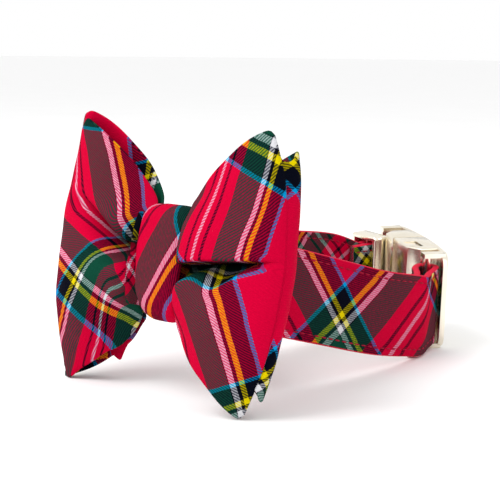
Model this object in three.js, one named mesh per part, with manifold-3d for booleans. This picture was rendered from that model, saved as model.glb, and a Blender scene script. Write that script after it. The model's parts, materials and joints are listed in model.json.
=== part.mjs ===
// A fabric dog collar: a band closed by a metal side-release buckle, a pinched bow on its front and
// a metal lead ring beside the buckle. Millimetres, +Z up. The collar stands on the two lower tips
// of the bow and on the buckle, so the band slopes down from the bow to the back.
import * as THREE from "three";
import { mergeVertices } from "three/addons/utils/BufferGeometryUtils.js";
import Module from "manifold-3d";

const wasm = await Module();
wasm.setup();

// ---------------------------------------------------------------- driving dimensions
const GAP = 0.3; // clearance between pieces that touch

const LEAN = THREE.MathUtils.degToRad(12); // the bow and the front of the band lean back
const SETTLE = THREE.MathUtils.degToRad(0.78); // the whole collar, onto its three resting places
const BOW_CENTRE = new THREE.Vector3(0, -11, 38.6); // the middle of the bow

const BAND = { width: 25, thick: 2.2, bevel: 0.5, tail: 17, doubled: 2.6, step: 3.2, sag: 1.1 };
// the middle line of the band, from the near side of the buckle round the front to the far side
const BAND_ROUTE = [
  { x: 19.2, y: 74, z: 14.4 },
  { x: 19.6, y: 58, z: 17.6 },
  { x: 18.6, y: 34, z: 24.4 },
  { x: 16.2, y: 14, z: 30.2 },
  { x: 9.0, y: 1.6, z: 34.0 },
  { x: 0.0, y: 0.0, z: 34.9 },
  { x: -8.6, y: 2.4, z: 34.4 },
  { x: -14.5, y: 14, z: 32.6 },
  { x: -19.5, y: 38, z: 29.0 },
  { x: -22.2, y: 64, z: 25.0 },
  { x: -22.7, y: 84, z: 22.0 },
];

const BUCKLE = {
  near: { bar: new THREE.Vector3(10.9, 92.1, 15.5), leave: new THREE.Vector3(0.39, -0.92, 0), side: -1 },
  far: { bar: new THREE.Vector3(-20.0, 110.2, 19.2), leave: new THREE.Vector3(-0.1, -1, 0), side: 1 },
  barRadius: 1.5,
  height: 31, // along the bars
  rail: { height: 1.6, width: 3.4 }, // the ears that hold a bar
  slot: 5.2, // from a bar's middle to the body, where the folded band passes
  overhang: 3.4, // how far the outer plate reaches past a bar
  plate: 1.7,
  crown: 8.0, // the outer face at the middle, and at its ends
  crownEnd: 5.9,
  back: 3.2, // the inner face
  corner: 4.5, // radius of the plate's corners
  mouth: -2.4, // where the two halves meet
  cavity: { height: 24.4, thick: 4.4, depth: 12.8 },
  window: { from: 2.9, to: 9.4 }, // the side openings that the prongs click into
  prong: { width: 3.2, thick: 3.7, length: 12, at: 9.6, hook: 4.2 },
  tongue: { width: 5, length: 8 },
};

const SLIDE = { fromBar: 7.4, length: 6, wall: 1.5, middleBar: 3, roomAcross: 1.0, roomUp: 1.1 };

const RING = { // the lead ring: a D whose straight bar lies under a fabric keeper
  wire: 1.3, // radius
  halfWidth: 10.9,
  depth: 19,
  bend: 3.6, // radius of the two corners beside the straight bar
  fromBar: 37, // along the far side of the band from the buckle's bar
};
const RING_KEEPER = { width: 13, thick: 1.0, tab: 4 };

const KNOT = { front: -4.4, back: 8.6, halfHeight: 15.6, width: 13.8, wall: 2, crown: 1.1, corner: 6 };
const BOW_KEEPER = { width: 10, wall: 1.1, slack: 0.9, slackUp: 0.4 };

const WING = { // one hollow fabric loop, pinched in the middle
  halfHeight: 38.2,
  pinchHeight: 12.0,
  pinchHalf: 7.8, // half the width that the knot holds
  rise: 1.02, // how fast the height opens out from the knot
  halfWidth: 42.6,
  wall: 1.3,
  gatherWall: 0.9, // extra wall where the cloth is gathered in the knot
  stations: 60,
  rows: 14,
};
// the loop seen from above at mid height, from the knot's front round the outer fold to its back
const WING_PLAN = [
  { x: 0, y: -0.9 },
  { x: 8, y: -0.9 },
  { x: 15, y: -4.6 },
  { x: 26, y: -6.2 },
  { x: 36, y: -3.4 },
  { x: 41.2, y: 1.0 },
  { x: 42.6, y: 5.2 },
  { x: 39.2, y: 9.4 },
  { x: 28, y: 10.6 },
  { x: 16, y: 8.0 },
  { x: 8, y: 4.5 },
];
// each corner: how far the outer end draws in, how far it lies back, and how far the back layer's
// edge stands inside the front layer's
const CORNERS = {
  lowerLeft: { narrow: 10.2, back: 2.6, layerDrop: 5.0 },
  upperLeft: { narrow: 5.6, back: -2.2, layerDrop: -2.0 },
  lowerRight: { narrow: 6.4, back: 2.6, layerDrop: 5.0 },
  upperRight: { narrow: 6.4, back: -2.2, layerDrop: 7.0 },
};
const FOLD = { depth: 4.6, sharp: 7, reach: 0.72, lobe: 2.4 }; // the crease that runs out from the knot

// ---------------------------------------------------------------- helpers
const material = (name, color, roughness, metalness) =>
  new THREE.MeshStandardMaterial({ name, color, roughness, metalness });
const tartan = () => material("tartan_cloth", 0xb5122f, 0.85, 0);
const gold = () => material("pale_gold_metal", 0xd9c08a, 0.25, 1);

/** A closed solid through rings of points; every ring has the same number of points. */
function loft(rings, closed) {
  const perRing = rings[0].length;
  const flat = rings.flat();
  const index = [];
  const ringCount = closed ? rings.length : rings.length - 1;
  for (let i = 0; i < ringCount; i++) {
    const a = i * perRing;
    const b = ((i + 1) % rings.length) * perRing;
    for (let j = 0; j < perRing; j++) {
      const k = (j + 1) % perRing;
      index.push(a + j, a + k, b + k, a + j, b + k, b + j);
    }
  }
  if (!closed) {
    for (const [start, flip] of [[0, true], [(rings.length - 1) * perRing, false]]) {
      const middle = new THREE.Vector3();
      for (let j = 0; j < perRing; j++) middle.add(flat[start + j]);
      flat.push(middle.divideScalar(perRing));
      for (let j = 0; j < perRing; j++) {
        const p = start + j;
        const q = start + ((j + 1) % perRing);
        index.push(flat.length - 1, flip ? q : p, flip ? p : q);
      }
    }
  }
  const geometry = new THREE.BufferGeometry();
  geometry.setAttribute("position", new THREE.Float32BufferAttribute(flat.flatMap((p) => [p.x, p.y, p.z]), 3));
  geometry.setIndex(index);
  return outward(geometry);
}

/** Turns a geometry's faces to point out. */
function outward(geometry) {
  const p = geometry.attributes.position;
  const index = geometry.index.array;
  const [a, b, c] = [new THREE.Vector3(), new THREE.Vector3(), new THREE.Vector3()];
  let volume = 0;
  for (let i = 0; i < index.length; i += 3) {
    a.fromBufferAttribute(p, index[i]);
    b.fromBufferAttribute(p, index[i + 1]);
    c.fromBufferAttribute(p, index[i + 2]);
    volume += a.dot(b.cross(c));
  }
  if (volume < 0) {
    for (let i = 0; i < index.length; i += 3) {
      [index[i + 1], index[i + 2]] = [index[i + 2], index[i + 1]];
    }
  }
  return geometry;
}

function toSolid(geometry) {
  const bare = geometry.clone();
  bare.deleteAttribute("normal");
  bare.deleteAttribute("uv");
  const merged = mergeVertices(bare, 1e-4);
  return new wasm.Manifold(new wasm.Mesh({
    numProp: 3,
    vertProperties: new Float32Array(merged.attributes.position.array),
    triVerts: new Uint32Array(merged.index.array),
  }));
}

function toGeometry(solid) {
  const mesh = solid.getMesh();
  const geometry = new THREE.BufferGeometry();
  geometry.setAttribute("position", new THREE.BufferAttribute(new Float32Array(mesh.vertProperties), 3));
  geometry.setIndex(new THREE.BufferAttribute(new Uint32Array(mesh.triVerts), 1));
  return geometry;
}

function block(x0, x1, y0, y1, z0, z1) {
  const box = new THREE.BoxGeometry(x1 - x0, y1 - y0, z1 - z0);
  return toSolid(box.translate((x0 + x1) / 2, (y0 + y1) / 2, (z0 + z1) / 2));
}

function named(name, geometry, finish) {
  const mesh = new THREE.Mesh(geometry, finish);
  mesh.name = name;
  return mesh;
}

const smooth = (t) => t * t * (3 - 2 * t);
const clamp01 = (t) => Math.min(1, Math.max(0, t));

/** A frame whose X runs along `along`, whose Z is as near as it can be to `up`. */
function frameAt(origin, along, up) {
  const x = along.clone().normalize();
  const y = up.clone().cross(x).normalize();
  return new THREE.Matrix4().makeBasis(x, y, x.clone().cross(y)).setPosition(origin);
}

// ---------------------------------------------------------------- the buckle's place
// its X runs from the far bar to the near bar, its Y out of the loop and its Z along the bars
const chord = BUCKLE.near.bar.clone().sub(BUCKLE.far.bar);
const halfChord = chord.length() / 2;
const buckleMiddle = BUCKLE.near.bar.clone().add(BUCKLE.far.bar).multiplyScalar(0.5);
const buckleUp = new THREE.Vector3(0, 0, 1).projectOnPlane(chord).normalize();
const buckleFrame = frameAt(buckleMiddle, chord, buckleUp);

// ---------------------------------------------------------------- the band
const frontUp = new THREE.Vector3(0, Math.sin(LEAN), Math.cos(LEAN));

/**
 * The way one end of the band turns round its bar and comes back along its own inner side. `lift`
 * sets the outer layer out from the bar's middle, once the two layers lie together.
 */
function foldedEnd({ bar, leave, side }, lift) {
  const along = leave.clone().projectOnPlane(buckleUp).normalize();
  const out = along.clone().cross(buckleUp).multiplyScalar(side).normalize();
  const turn = BUCKLE.barRadius + GAP + BAND.thick / 2;
  const at = (a, o) => bar.clone()
    .addScaledVector(along, a)
    .addScaledVector(out, o)
    .addScaledVector(buckleUp, -BAND.sag);
  const tail = lift - BAND.doubled;
  const slide = { outer: Math.max(lift, 2.0), inner: Math.max(lift, 2.0) - 3.9 };
  const points = [at(BAND.tail, tail), at(13, tail), at(SLIDE.fromBar, slide.inner), at(3, -turn)];
  for (const degrees of [-75, -30, 15, 60]) {
    const t = THREE.MathUtils.degToRad(degrees);
    points.push(at(-turn * Math.cos(t), turn * Math.sin(t)));
  }
  points.push(at(1.5, turn), at(SLIDE.fromBar, slide.outer), at(13, lift));
  return { points, along, out, slide };
}

const nearEnd = foldedEnd(BUCKLE.near, 2.7);
const farEnd = foldedEnd(BUCKLE.far, 1.3);

function bandPath() {
  const middle = BAND_ROUTE.map((row) => new THREE.Vector3(row.x, row.y, row.z));
  return new THREE.CatmullRomCurve3([...nearEnd.points, ...middle, ...[...farEnd.points].reverse()], false, "centripetal");
}
const bandCurve = bandPath();
const bandLength = bandCurve.getLength();

/** The band's width direction: the buckle's at both ends, leaning back with the bow between. */
function bandUp(distance, tangent) {
  const ends = BAND.tail + 14;
  const inFront = smooth(clamp01((Math.min(distance, bandLength - distance) - ends) / 30));
  return buckleUp.clone().lerp(frontUp, inFront).projectOnPlane(tangent).normalize();
}

function bandRings() {
  const { width, thick, bevel } = BAND;
  const outline = [
    [-width / 2, -thick / 2 + bevel], [-width / 2 + bevel, -thick / 2], [width / 2 - bevel, -thick / 2],
    [width / 2, -thick / 2 + bevel], [width / 2, thick / 2 - bevel], [width / 2 - bevel, thick / 2],
    [-width / 2 + bevel, thick / 2], [-width / 2, thick / 2 - bevel],
  ];
  const distances = [];
  const turnAt = [BAND.tail + 4.5, bandLength - BAND.tail - 4.5];
  for (let s = 0; s < bandLength - 0.01;) {
    distances.push(s);
    const nearTurn = Math.min(...turnAt.map((t) => Math.abs(t - s))) < 9;
    s += nearTurn ? 1.1 : BAND.step;
  }
  distances.push(bandLength);
  return distances.map((s) => {
    const t = clamp01(s / bandLength);
    const point = bandCurve.getPointAt(t);
    const tangent = bandCurve.getTangentAt(t);
    const up = bandUp(s, tangent);
    const side = tangent.clone().cross(up).normalize();
    return outline.map(([w, n]) => point.clone().addScaledVector(up, w).addScaledVector(side, n));
  });
}

// ---------------------------------------------------------------- the buckle
const plateEnd = halfChord + BUCKLE.overhang;
const slotEdge = halfChord - BUCKLE.slot;
const outerFace = (x) => BUCKLE.crownEnd + (BUCKLE.crown - BUCKLE.crownEnd) * (1 - (x / plateEnd) ** 2);

/** The whole buckle seen along its bars: a curved outer plate with a thicker middle. */
function buckleProfile() {
  const { plate, back } = BUCKLE;
  const shape = new THREE.Shape();
  const steps = 16;
  shape.moveTo(-plateEnd, outerFace(plateEnd) - plate);
  shape.lineTo(-slotEdge, outerFace(slotEdge) - plate);
  shape.lineTo(-slotEdge, 0);
  shape.lineTo(-slotEdge + back, -back);
  shape.lineTo(slotEdge - back, -back);
  shape.lineTo(slotEdge, 0);
  shape.lineTo(slotEdge, outerFace(slotEdge) - plate);
  shape.lineTo(plateEnd, outerFace(plateEnd) - plate);
  for (let i = 0; i <= steps; i++) {
    const x = plateEnd * (1 - (2 * i) / steps);
    shape.lineTo(x, outerFace(x));
  }
  shape.closePath();
  return shape;
}

/** The plate and middle of the buckle between two stations, with rounded corners. */
function buckleBody(x0, x1) {
  const { height, corner } = BUCKLE;
  const bevel = { bevelEnabled: true, bevelThickness: 0.6, bevelSize: 0.5, bevelOffset: -0.5, bevelSegments: 2 };
  const body = new THREE.ExtrudeGeometry(buckleProfile(), { depth: height - 1.2, ...bevel });
  const face = new THREE.Shape();
  const [w, h] = [plateEnd, height / 2];
  face.moveTo(-w, -h + corner);
  face.absarc(-w + corner, -h + corner, corner, Math.PI, 1.5 * Math.PI);
  face.absarc(w - corner, -h + corner, corner, 1.5 * Math.PI, 2 * Math.PI);
  face.absarc(w - corner, h - corner, corner, 0, 0.5 * Math.PI);
  face.absarc(-w + corner, h - corner, corner, 0.5 * Math.PI, Math.PI);
  const outline = new THREE.ExtrudeGeometry(face, { depth: 40, bevelEnabled: false, curveSegments: 6 });
  return toSolid(body.translate(0, 0, -height / 2 + 0.6))
    .intersect(toSolid(outline.rotateX(Math.PI / 2).translate(0, 20, 0)))
    .intersect(block(x0, x1, -20, 20, -height, height));
}

/** A bar and the two ears that carry it under the plate. */
function buckleBar(x) {
  const { barRadius, height, rail, plate } = BUCKLE;
  const bar = new THREE.CylinderGeometry(barRadius, barRadius, height - rail.height, 20);
  let solid = toSolid(bar.rotateX(Math.PI / 2).translate(x, 0, 0));
  const reach = outerFace(x) - plate / 2;
  const half = rail.width / 2;
  for (const z of [-height / 2, height / 2 - rail.height]) {
    solid = solid.add(block(x - half, x + half, -barRadius, reach, z + 0.1, z + rail.height - 0.1));
  }
  return solid;
}

function socketSolid() {
  const { mouth, cavity, window, height } = BUCKLE;
  const half = cavity.thick / 2;
  const hollow = block(mouth - 2, mouth + cavity.depth, -half, half, -cavity.height / 2, cavity.height / 2);
  const windows = block(window.from, window.to, -half, half, -height, height);
  return buckleBody(mouth, plateEnd + 1).add(buckleBar(halfChord)).subtract(hollow).subtract(windows);
}

function prongSolid() {
  const { mouth, prong, tongue, height } = BUCKLE;
  const start = mouth - 2 * GAP;
  const tip = start + prong.length;
  const half = prong.thick / 2;
  let solid = buckleBody(-plateEnd - 1, start)
    .add(buckleBar(-halfChord))
    .add(block(start - 1, start + tongue.length, -half, half, -tongue.width / 2, tongue.width / 2));
  for (const side of [-1, 1]) {
    const zs = (a, b) => [Math.min(side * a, side * b), Math.max(side * a, side * b)];
    const arm = zs(prong.at - prong.width / 2, prong.at + prong.width / 2);
    const button = zs(prong.at - prong.width / 2, height / 2 - 0.4);
    solid = solid
      .add(block(start - 1, tip, -half, half, ...arm))
      .add(block(tip - 1.6 - prong.hook, tip - 1.6, -half, half, ...button));
  }
  return solid;
}

// ---------------------------------------------------------------- the slide on the doubled band
/** A metal loop round both layers, with a bar between them, in its own frame (X along the band). */
function slideSolid() {
  const { length, wall, middleBar, roomAcross, roomUp } = SLIDE;
  const half = BAND.thick / 2;
  const outer = farEnd.slide.outer + half + roomAcross;
  const inner = farEnd.slide.inner - half - roomAcross;
  const up = BAND.width / 2 + roomUp;
  const frame = new THREE.Shape();
  const bend = 1.2;
  frame.moveTo(inner - wall + bend, -up - wall);
  frame.lineTo(outer + wall - bend, -up - wall);
  frame.quadraticCurveTo(outer + wall, -up - wall, outer + wall, -up - wall + bend);
  frame.lineTo(outer + wall, up + wall - bend);
  frame.quadraticCurveTo(outer + wall, up + wall, outer + wall - bend, up + wall);
  frame.lineTo(inner - wall + bend, up + wall);
  frame.quadraticCurveTo(inner - wall, up + wall, inner - wall, up + wall - bend);
  frame.lineTo(inner - wall, -up - wall + bend);
  frame.quadraticCurveTo(inner - wall, -up - wall, inner - wall + bend, -up - wall);
  const bevel = { bevelEnabled: true, bevelThickness: 0.4, bevelSize: 0.4, bevelOffset: -0.4, bevelSegments: 2 };
  const body = new THREE.ExtrudeGeometry(frame, { depth: length - 0.8, curveSegments: 5, ...bevel });
  // the drawing's X goes to the frame's Y and its Y to Z
  const turn = new THREE.Matrix4().set(0, 0, 1, -length / 2 + 0.4, 1, 0, 0, 0, 0, 1, 0, 0, 0, 0, 0, 1);
  const between = (farEnd.slide.outer + farEnd.slide.inner) / 2;
  return toSolid(body.applyMatrix4(turn))
    .subtract(block(-length, length, inner, outer, -up, up))
    .add(block(-middleBar / 2, middleBar / 2, between - 0.4, between + 0.4, -up - 0.5, up + 0.5));
}

// ---------------------------------------------------------------- the lead ring and its keeper
/** A point on the band's middle line, `distance` before its far end's bar, with its directions. */
function onFarSide(distance) {
  const t = (bandLength - BAND.tail - 5 - distance) / bandLength;
  const along = bandCurve.getTangentAt(t).negate();
  const up = bandUp(t * bandLength, along);
  const out = along.clone().cross(up).normalize();
  return { point: bandCurve.getPointAt(t), along, up, out };
}

const ringSeat = onFarSide(RING.fromBar);
const seatLift = BAND.thick / 2 + GAP + RING.wire;
const ringCentre = ringSeat.point.clone().addScaledVector(ringSeat.out, seatLift);

/** The ring lies back along the band's outer face, towards the buckle. */
function ringDirection() {
  const behind = onFarSide(RING.fromBar - RING.depth);
  const tip = behind.point.clone().addScaledVector(behind.out, seatLift + 3 * GAP);
  return tip.sub(ringCentre).projectOnPlane(ringSeat.up).normalize();
}

function ringRings() {
  const { halfWidth, depth, bend, wire } = RING;
  const path = new THREE.CurvePath();
  const v = (across, away) => new THREE.Vector3(away, 0, across);
  path.add(new THREE.LineCurve3(v(-halfWidth + bend, 0), v(halfWidth - bend, 0)));
  path.add(new THREE.QuadraticBezierCurve3(v(halfWidth - bend, 0), v(halfWidth, 0), v(halfWidth, bend)));
  path.add(new THREE.CubicBezierCurve3(v(halfWidth, bend), v(halfWidth, depth * 0.82), v(halfWidth * 0.62, depth), v(0, depth)));
  path.add(new THREE.CubicBezierCurve3(v(0, depth), v(-halfWidth * 0.62, depth), v(-halfWidth, depth * 0.82), v(-halfWidth, bend)));
  path.add(new THREE.QuadraticBezierCurve3(v(-halfWidth, bend), v(-halfWidth, 0), v(-halfWidth + bend, 0)));
  const steps = 44;
  const rings = [];
  for (let i = 0; i < steps; i++) {
    const point = path.getPointAt(i / steps);
    const tangent = path.getTangentAt(i / steps);
    const inPlane = tangent.clone().cross(new THREE.Vector3(0, 1, 0)).normalize();
    const ring = [];
    for (let k = 0; k < 10; k++) {
      const a = (k / 10) * 2 * Math.PI;
      ring.push(point.clone().addScaledVector(inPlane, wire * Math.cos(a)).add(new THREE.Vector3(0, wire * Math.sin(a), 0)));
    }
    rings.push(ring);
  }
  return rings;
}

/** A strip of cloth sewn to the band on both sides of the ring's bar, and arched over it. */
function ringKeeperRings() {
  const { width, thick, tab } = RING_KEEPER;
  const low = BAND.thick / 2 + 1.5 * GAP + thick / 2;
  const over = RING.wire + 1.5 * GAP + thick / 2;
  const route = [[-over - tab, low], [-over - 1.2, low], [-over, low + 0.8]];
  for (const degrees of [160, 125, 90, 55, 20]) {
    const t = THREE.MathUtils.degToRad(degrees);
    route.push([over * Math.cos(t), seatLift + over * Math.sin(t)]);
  }
  route.push([over, low + 0.8], [over + 1.2, low], [over + tab, low]);
  const at = ([a, o]) => ringSeat.point.clone().addScaledVector(ringSeat.along, a).addScaledVector(ringSeat.out, o);
  const curve = new THREE.CatmullRomCurve3(route.map(at), false, "centripetal");
  return stripRings(curve, 34, width, thick, () => ringSeat.up);
}

/** Rectangular rings along a curve. */
function stripRings(curve, steps, width, thick, upAt, closed = false) {
  const rings = [];
  for (let i = 0; i < (closed ? steps : steps + 1); i++) {
    const t = i / steps;
    const point = curve.getPointAt(t);
    const tangent = curve.getTangentAt(t);
    const up = upAt(t).clone().projectOnPlane(tangent).normalize();
    const side = tangent.clone().cross(up).normalize();
    const corner = (w, n) => point.clone().addScaledVector(up, (w * width) / 2).addScaledVector(side, (n * thick) / 2);
    rings.push([corner(-1, -1), corner(1, -1), corner(1, 1), corner(-1, 1)]);
  }
  return rings;
}

// ---------------------------------------------------------------- the bow
/** A rounded rectangle in the YZ plane, as a closed curve. */
function roundedLoop(y0, y1, z0, z1, corner) {
  const path = new THREE.CurvePath();
  const v = (y, z) => new THREE.Vector3(0, y, z);
  const corners = [
    [v(y0, z0 + corner), v(y0, z1 - corner), v(y0, z1), v(y0 + corner, z1)],
    [v(y0 + corner, z1), v(y1 - corner, z1), v(y1, z1), v(y1, z1 - corner)],
    [v(y1, z1 - corner), v(y1, z0 + corner), v(y1, z0), v(y1 - corner, z0)],
    [v(y1 - corner, z0), v(y0 + corner, z0), v(y0, z0), v(y0, z0 + corner)],
  ];
  for (const [from, to, bendAt, end] of corners) {
    path.add(new THREE.LineCurve3(from, to));
    path.add(new THREE.QuadraticBezierCurve3(to, bendAt, end));
  }
  return path;
}

/** The strip that wraps the bow's middle, crowned across its width. */
function knotRings() {
  const { front, back, halfHeight, width, wall, crown, corner } = KNOT;
  const half = wall / 2;
  const loop = roundedLoop(front + half, back - half, -halfHeight + half, halfHeight - half, corner);
  const steps = 40;
  const across = [-1, -0.6, 0, 0.6, 1];
  const rings = [];
  for (let i = 0; i < steps; i++) {
    const point = loop.getPointAt(i / steps);
    const tangent = loop.getTangentAt(i / steps);
    const out = new THREE.Vector3(1, 0, 0).cross(tangent).normalize();
    const at = (k, n) => point.clone()
      .add(new THREE.Vector3((k * width) / 2, 0, 0))
      .addScaledVector(out, n);
    const inFront = smooth(clamp01((back - 3 - point.y) / 4)); // the back lies flat on the keeper
    const outer = across.map((k) => at(k, half + crown * (1 - k * k) * inFront));
    const inner = [...across].reverse().map((k) => at(k, -half));
    rings.push([...outer, ...inner]);
  }
  return rings;
}

/** The keeper: a plain loop behind the knot, round the band. */
function bowKeeperRings(bandY, bandZ) {
  const { width, wall, slack, slackUp } = BOW_KEEPER;
  const half = wall / 2;
  const y0 = bandY - BAND.thick / 2 - GAP - half;
  const y1 = bandY + BAND.thick / 2 + GAP + slack + half;
  const z = BAND.width / 2 + GAP + slackUp + half;
  const loop = roundedLoop(y0, y1, bandZ - z, bandZ + z, 1);
  return stripRings(loop, 64, width, wall, () => new THREE.Vector3(1, 0, 0), true);
}

const wingPlan = new THREE.CatmullRomCurve3(
  [...WING_PLAN, ...WING_PLAN.slice(1).reverse().map((row) => ({ x: -row.x, y: row.y }))]
    .map((row) => new THREE.Vector3(row.x, row.y, 0)), true, "centripetal");

/** The bow's loop: u goes once round it seen from above, v from its lower edge to its upper. */
function wingPoint(u, v) {
  const plan = wingPlan.getPointAt(u);
  const fromKnot = Math.max(0, Math.abs(plan.x) - WING.pinchHalf);
  const out = clamp01(fromKnot / (WING.halfWidth - WING.pinchHalf)); // 0 at the knot, 1 at the fold
  const open = 1 - (1 - out) ** WING.rise;
  const halfHeight = WING.pinchHeight + (WING.halfHeight - WING.pinchHeight) * open;
  const corner = CORNERS[(v < 0 ? "lower" : "upper") + (plan.x < 0 ? "Left" : "Right")];
  const toTip = Math.abs(v) ** 2.2 * out;
  const isBack = smooth(clamp01((plan.y - 0.5) / 4));
  const x = plan.x - Math.sign(plan.x) * corner.narrow * toTip;
  const z = v * (halfHeight - corner.layerDrop * isBack * smooth(out));
  const near = smooth(clamp01((FOLD.reach - out) / FOLD.reach)) * smooth(clamp01(fromKnot / 7));
  const crease = Math.exp(-((FOLD.sharp * v) ** 2) / 2) * FOLD.depth * near;
  const lobes = Math.sin(Math.PI * Math.min(1, Math.abs(v) * 1.15)) * FOLD.lobe * near;
  const rolled = Math.abs(v) ** 4 * (1 - smooth(clamp01(fromKnot / 12))); // edges turned in by the knot
  const y = plan.y + corner.back * toTip + (1 - isBack) * (crease - lobes + 2.0 * rolled) - isBack * 1.6 * rolled;
  return new THREE.Vector3(x, y, z);
}

function wingRings() {
  const { stations, rows, wall, gatherWall } = WING;
  const rings = [];
  for (let i = 0; i < stations; i++) {
    const u = i / stations;
    const outer = [];
    const inner = [];
    for (let j = 0; j <= rows; j++) {
      const v = -1 + (2 * j) / rows;
      const point = wingPoint(u, v);
      const alongU = wingPoint((u + 0.004) % 1, v).sub(wingPoint((u + 0.996) % 1, v));
      const alongV = wingPoint(u, Math.min(1, v + 0.02)).sub(wingPoint(u, Math.max(-1, v - 0.02)));
      const normal = alongU.cross(alongV).normalize();
      const gather = gatherWall * smooth(clamp01(1.6 - Math.abs(point.x) / 12));
      const half = (wall + gather) / 2;
      outer.push(point.clone().addScaledVector(normal, half));
      inner.unshift(point.clone().addScaledVector(normal, -half));
    }
    rings.push([...outer, ...inner]);
  }
  return rings;
}

// ---------------------------------------------------------------- the assembly
const collar = new THREE.Group();
collar.add(named("collar_band", loft(bandRings(), false), tartan()));

const buckle = new THREE.Group();
buckle.applyMatrix4(buckleFrame);
buckle.add(named("buckle_socket", toGeometry(socketSolid()), gold()));
buckle.add(named("buckle_prong", toGeometry(prongSolid()), gold()));
collar.add(buckle);

const slide = new THREE.Group();
const slidePlace = BUCKLE.far.bar.clone()
  .addScaledVector(farEnd.along, SLIDE.fromBar)
  .addScaledVector(buckleUp, -BAND.sag);
slide.applyMatrix4(new THREE.Matrix4()
  .makeBasis(farEnd.along.clone().multiplyScalar(-1), farEnd.out, buckleUp)
  .setPosition(slidePlace));
slide.add(named("strap_slide", toGeometry(slideSolid()), gold()));
collar.add(slide);

const leadRing = new THREE.Group();
leadRing.applyMatrix4(frameAt(ringCentre, ringDirection(), ringSeat.up));
leadRing.add(named("d_ring", loft(ringRings(), true), gold()));
collar.add(leadRing);
collar.add(named("d_ring_keeper", loft(ringKeeperRings(), false), tartan()));

const bow = new THREE.Group();
bow.position.copy(BOW_CENTRE);
bow.rotation.x = -LEAN;
bow.add(named("bow_wings", loft(wingRings(), true), tartan()));
bow.add(named("bow_knot", loft(knotRings(), true), tartan()));
bow.updateMatrixWorld();
const bandInBow = bow.worldToLocal(new THREE.Vector3(0, 0, 34.9));
bow.add(named("bow_keeper", loft(bowKeeperRings(bandInBow.y, bandInBow.z), true), tartan()));
collar.add(bow);

// the origin is the middle of the footprint, on the surface that the collar stands on
collar.rotation.x = SETTLE;
collar.updateMatrixWorld(true);
const box = new THREE.Box3().setFromObject(collar, true);
const middle = box.getCenter(new THREE.Vector3());
collar.position.set(-middle.x, -middle.y, -box.min.z);

const group = new THREE.Group();
group.add(collar);
group.updateMatrixWorld(true);
export default group;
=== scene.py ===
import bmesh
import bpy
import json
import math
import numpy as np
from mathutils import Matrix, Vector
from types import SimpleNamespace


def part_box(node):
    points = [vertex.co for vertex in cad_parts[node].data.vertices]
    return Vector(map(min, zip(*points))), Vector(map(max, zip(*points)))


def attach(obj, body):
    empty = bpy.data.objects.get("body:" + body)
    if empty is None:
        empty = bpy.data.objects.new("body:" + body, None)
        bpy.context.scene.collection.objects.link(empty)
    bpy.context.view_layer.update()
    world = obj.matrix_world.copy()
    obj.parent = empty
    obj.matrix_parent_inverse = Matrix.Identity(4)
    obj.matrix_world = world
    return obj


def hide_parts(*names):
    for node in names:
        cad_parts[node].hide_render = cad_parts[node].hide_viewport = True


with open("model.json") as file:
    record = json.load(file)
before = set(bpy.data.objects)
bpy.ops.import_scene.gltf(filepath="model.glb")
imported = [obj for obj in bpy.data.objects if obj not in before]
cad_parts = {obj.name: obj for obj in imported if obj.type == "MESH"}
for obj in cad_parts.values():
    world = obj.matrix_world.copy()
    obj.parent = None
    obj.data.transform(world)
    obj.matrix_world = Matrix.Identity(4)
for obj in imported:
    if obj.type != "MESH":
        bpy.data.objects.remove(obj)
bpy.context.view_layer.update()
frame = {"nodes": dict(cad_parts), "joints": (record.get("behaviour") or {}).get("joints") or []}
cadNodes = frame["nodes"]
print("frame loaded:", len(cadNodes), "nodes")

mm = 0.001
scene = bpy.context.scene


def placed(name, data):
    made = bpy.data.objects.new(name, data)
    scene.collection.objects.link(made)
    return made


# small sums used by every piece

def smooth(t):
    t = np.clip(t, 0.0, 1.0)
    return t * t * (3 - 2 * t)


def hump(x, at, width):
    return np.exp(-((x - at) / width) ** 2)


def unit(v):
    v = np.asarray(v, float)
    return v / np.linalg.norm(v, axis=-1, keepdims=True)


def across(v, n):
    # what is left of v square to n
    v, n = np.asarray(v, float), np.asarray(n, float)
    return unit(v - (v * n).sum(-1, keepdims=True) * n)


def measured(line):
    # a line of points, with the distance run along it
    return line, np.concatenate([[0], np.cumsum(np.linalg.norm(np.diff(line, axis=0), axis=1))])


def loopLine(spots):
    return measured(np.vstack([spots, spots[:1]]))


def rounded(points, closed=False):
    # a smooth line through given points
    p = np.array(points, float)
    if closed:
        q = np.vstack([p[-1], p, p[0], p[1]])
    else:
        q = np.vstack([2 * p[0] - p[1], p, 2 * p[-1] - p[-2]])
    t = (np.arange(24) / 24)[:, None]
    line = []
    for i in range(len(q) - 3):
        a, b, c, d = q[i:i + 4]
        t0, t1, t2 = (max(np.linalg.norm(y - x) ** 0.5, 1e-6) for x, y in ((a, b), (b, c), (c, d)))
        m1 = ((b - a) / t0 - (c - a) / (t0 + t1) + (c - b) / t1) * t1
        m2 = ((c - b) / t1 - (d - b) / (t1 + t2) + (d - c) / t2) * t1
        line.append((2 * t**3 - 3 * t**2 + 1) * b + (t**3 - 2 * t**2 + t) * m1
                    + (3 * t**2 - 2 * t**3) * c + (t**3 - t**2) * m2)
    line.append((p[0] if closed else p[-1])[None])
    return measured(np.vstack(line))


def pointOn(curve, distance):
    line, run = curve
    return np.stack([np.interp(distance, run, line[:, k]) for k in range(line.shape[1])], -1)


def wayOn(curve, distance):
    return unit(pointOn(curve, distance + 0.05) - pointOn(curve, distance - 0.05))


def inside(curve, distance):
    # kept clear of the line's two ends, where it has no way
    return np.clip(distance, 0.06, curve[1][-1] - 0.06)


def wayRound(loop, distance, step=0.2):
    total = loop[1][-1]
    return unit(pointOn(loop, (distance + step) % total) - pointOn(loop, (distance - step) % total))


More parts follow.
